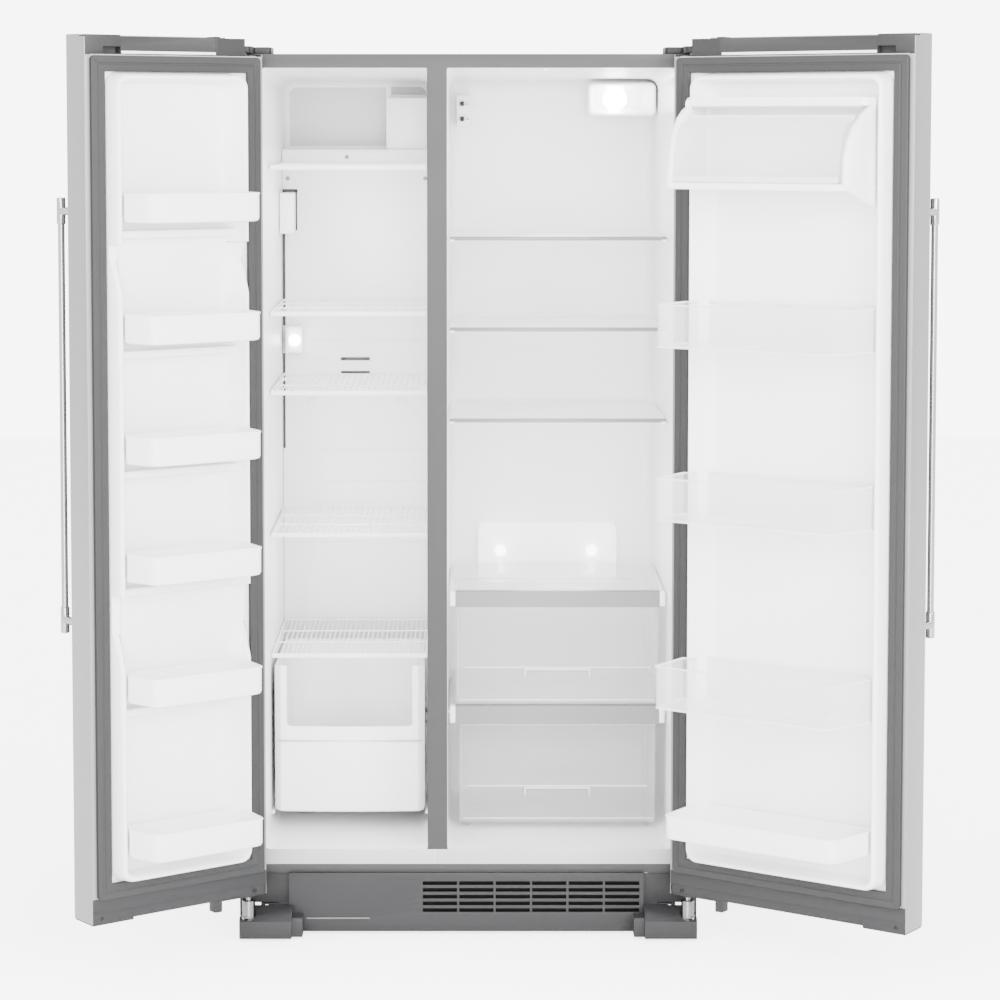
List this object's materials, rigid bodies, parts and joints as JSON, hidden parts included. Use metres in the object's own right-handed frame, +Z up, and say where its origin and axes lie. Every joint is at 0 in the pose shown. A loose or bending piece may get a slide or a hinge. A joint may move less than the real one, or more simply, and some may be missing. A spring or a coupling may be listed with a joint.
{
  "type": "side by side refrigerator",
  "caption": "Side by side refrigerator with both steel doors open, white interior, sliding shelves, clear crisper drawers and door bins.",
  "frame": {"origin": "centre of the cabinet's footprint, on the floor", "axes": "+Z up, +X to the right as seen from the front, the doors face -Y"},
  "size_m": [1.6646, 1.1759, 1.774],
  "materials": {
    "cabinet_paint": "satin grey paint with a fine grain",
    "galvanised_steel": "zinc-plated sheet",
    "liner_white": "smooth moulded polystyrene",
    "base_grey": "fine-textured moulded grey",
    "dark_plastic": "moulded dark grey",
    "black_enamel": "black enamel",
    "evaporator_aluminium": "plain aluminium",
    "lamp_lens": "frosted",
    "bulb_glass": "frosted glass",
    "white_wire": "white vinyl-coated wire",
    "shelf_glass": "tempered glass with moulded edges",
    "crisper_frame": "satin silver grey",
    "clear_plastic": "clear polystyrene",
    "door_steel": "fine vertical brushed grain",
    "gasket_grey": "soft moulded vinyl",
    "handle_steel": "satin bar"
  },
  "bodies": {
    "cabinet": {"cabinet_shell": "cabinet_paint", "rear_panel": "galvanised_steel", "freezer_liner": "liner_white", "fridge_liner": "liner_white", "base_frame": "galvanised_steel", "base_grille": "base_grey", "foot_covers": "base_grey", "leveling_legs": "galvanised_steel", "upper_hinges": "galvanised_steel", "hinge_covers": "dark_plastic", "lower_hinges": "galvanised_steel", "compressor": "black_enamel", "condenser_coil": "black_enamel", "condenser_fan_motor": "dark_plastic", "drain_pan": "dark_plastic", "evaporator": "evaporator_aluminium", "evaporator_fan_motor": "dark_plastic", "evaporator_cover": "liner_white", "air_duct_cover": "liner_white", "control_housing": "liner_white", "lamp_housings": "liner_white", "lamp_cover": "lamp_lens", "lamp_bulbs": "bulb_glass", "crisper_cover_upper": "crisper_frame", "crisper_cover_lower": "crisper_frame"},
    "freezer_door": {"freezer_door_panel": "door_steel", "freezer_door_liner": "liner_white", "freezer_door_gasket": "gasket_grey", "freezer_door_caps": "base_grey", "freezer_door_shelves": "liner_white", "freezer_door_handle": "handle_steel"},
    "fridge_door": {"fridge_door_panel": "door_steel", "fridge_door_liner": "liner_white", "fridge_door_gasket": "gasket_grey", "fridge_door_caps": "base_grey", "fridge_door_handle": "handle_steel", "dairy_compartment": "liner_white", "door_bin_bottom": "liner_white"},
    "dairy_flap": {"dairy_flap": "clear_plastic"},
    "door_bin_1": {"door_bin_1": "clear_plastic"},
    "door_bin_2": {"door_bin_2": "clear_plastic"},
    "door_bin_3": {"door_bin_3": "clear_plastic"},
    "rear_roller_left": {"rear_roller_left": "dark_plastic"},
    "rear_roller_right": {"rear_roller_right": "dark_plastic"},
    "condenser_fan": {"condenser_fan_blade": "dark_plastic"},
    "evaporator_fan": {"evaporator_fan_blade": "liner_white"},
    "freezer_slider": {"freezer_slider": "dark_plastic"},
    "fridge_slider": {"fridge_slider": "dark_plastic"},
    "light_switch": {"light_switch": "liner_white"},
    "freezer_shelf_1": {"freezer_shelf_1": "white_wire"},
    "freezer_shelf_2": {"freezer_shelf_2": "white_wire"},
    "freezer_shelf_3": {"freezer_shelf_3": "white_wire"},
    "freezer_shelf_4": {"freezer_shelf_4": "white_wire"},
    "freezer_rack": {"freezer_rack": "white_wire"},
    "freezer_bin": {"freezer_bin": "liner_white"},
    "fridge_shelf_1": {"fridge_shelf_1": "shelf_glass"},
    "fridge_shelf_2": {"fridge_shelf_2": "shelf_glass"},
    "fridge_shelf_3": {"fridge_shelf_3": "shelf_glass"},
    "crisper_drawer_upper": {"crisper_drawer_upper": "clear_plastic"},
    "crisper_drawer_lower": {"crisper_drawer_lower": "clear_plastic"}
  },
  "joints": [
    {"name": "freezer_door_swing", "type": "hinge", "parent": "cabinet", "child": "freezer_door", "pos_m": [-0.433, -0.4125, 0.9], "axis": [0, 0, -1], "range_deg": [-143, 0]},
    {"name": "fridge_door_swing", "type": "hinge", "parent": "cabinet", "child": "fridge_door", "pos_m": [0.433, -0.4125, 0.9], "axis": [0, 0, 1], "range_deg": [-145, 0]},
    {"name": "dairy_flap_hinge", "type": "hinge", "parent": "fridge_door", "child": "dairy_flap", "pos_m": [0.52717, -0.68597, 1.611], "axis": [-0.8192, 0.5736, 0], "range_deg": [0, 80]},
    {"name": "door_bin_1_lift", "type": "slide", "parent": "fridge_door", "child": "door_bin_1", "axis": [0, 0, 1], "range_m": [0, 0.03]},
    {"name": "door_bin_2_lift", "type": "slide", "parent": "fridge_door", "child": "door_bin_2", "axis": [0, 0, 1], "range_m": [0, 0.03]},
    {"name": "door_bin_3_lift", "type": "slide", "parent": "fridge_door", "child": "door_bin_3", "axis": [0, 0, 1], "range_m": [0, 0.03]},
    {"name": "rear_roller_left_spin", "type": "hinge", "parent": "cabinet", "child": "rear_roller_left", "pos_m": [-0.395, 0.3085, 0.025], "axis": [1, 0, 0], "continuous": true},
    {"name": "rear_roller_right_spin", "type": "hinge", "parent": "cabinet", "child": "rear_roller_right", "pos_m": [0.395, 0.3085, 0.025], "axis": [1, 0, 0], "continuous": true},
    {"name": "condenser_fan_spin", "type": "hinge", "parent": "cabinet", "child": "condenser_fan", "pos_m": [-0.036, 0.2635, 0.168], "axis": [1, 0, 0], "continuous": true},
    {"name": "evaporator_fan_spin", "type": "hinge", "parent": "cabinet", "child": "evaporator_fan", "pos_m": [-0.24125, 0.2645, 1.17], "axis": [0, 1, 0], "continuous": true},
    {"name": "freezer_slider_travel", "type": "slide", "parent": "cabinet", "child": "freezer_slider", "axis": [1, 0, 0], "range_m": [-0.002, 0.01]},
    {"name": "fridge_slider_travel", "type": "slide", "parent": "cabinet", "child": "fridge_slider", "axis": [1, 0, 0], "range_m": [-0.002, 0.01]},
    {"name": "light_switch_press", "type": "slide", "parent": "cabinet", "child": "light_switch", "axis": [0, 0, 1], "range_m": [0, 0.005], "stiffness_N_per_m": 30, "springref_m": -0.003},
    {"name": "freezer_shelf_1_slide", "type": "slide", "parent": "cabinet", "child": "freezer_shelf_1", "axis": [0, -1, 0], "range_m": [0, 0.2]},
    {"name": "freezer_shelf_2_slide", "type": "slide", "parent": "cabinet", "child": "freezer_shelf_2", "axis": [0, -1, 0], "range_m": [0, 0.2]},
    {"name": "freezer_shelf_3_slide", "type": "slide", "parent": "cabinet", "child": "freezer_shelf_3", "axis": [0, -1, 0], "range_m": [0, 0.2]},
    {"name": "freezer_shelf_4_slide", "type": "slide", "parent": "cabinet", "child": "freezer_shelf_4", "axis": [0, -1, 0], "range_m": [0, 0.2]},
    {"name": "freezer_rack_slide", "type": "slide", "parent": "cabinet", "child": "freezer_rack", "axis": [0, -1, 0], "range_m": [0, 0.2]},
    {"name": "freezer_bin_slide", "type": "slide", "parent": "cabinet", "child": "freezer_bin", "axis": [0, -1, 0], "range_m": [0, 0.2]},
    {"name": "fridge_shelf_1_slide", "type": "slide", "parent": "cabinet", "child": "fridge_shelf_1", "axis": [0, -1, 0], "range_m": [0, 0.2]},
    {"name": "fridge_shelf_2_slide", "type": "slide", "parent": "cabinet", "child": "fridge_shelf_2", "axis": [0, -1, 0], "range_m": [0, 0.2]},
    {"name": "fridge_shelf_3_slide", "type": "slide", "parent": "cabinet", "child": "fridge_shelf_3", "axis": [0, -1, 0], "range_m": [0, 0.2]},
    {"name": "crisper_upper_slide", "type": "slide", "parent": "cabinet", "child": "crisper_drawer_upper", "axis": [0, -1, 0], "range_m": [0, 0.28]},
    {"name": "crisper_lower_slide", "type": "slide", "parent": "cabinet", "child": "crisper_drawer_lower", "axis": [0, -1, 0], "range_m": [0, 0.28]}
  ]
}
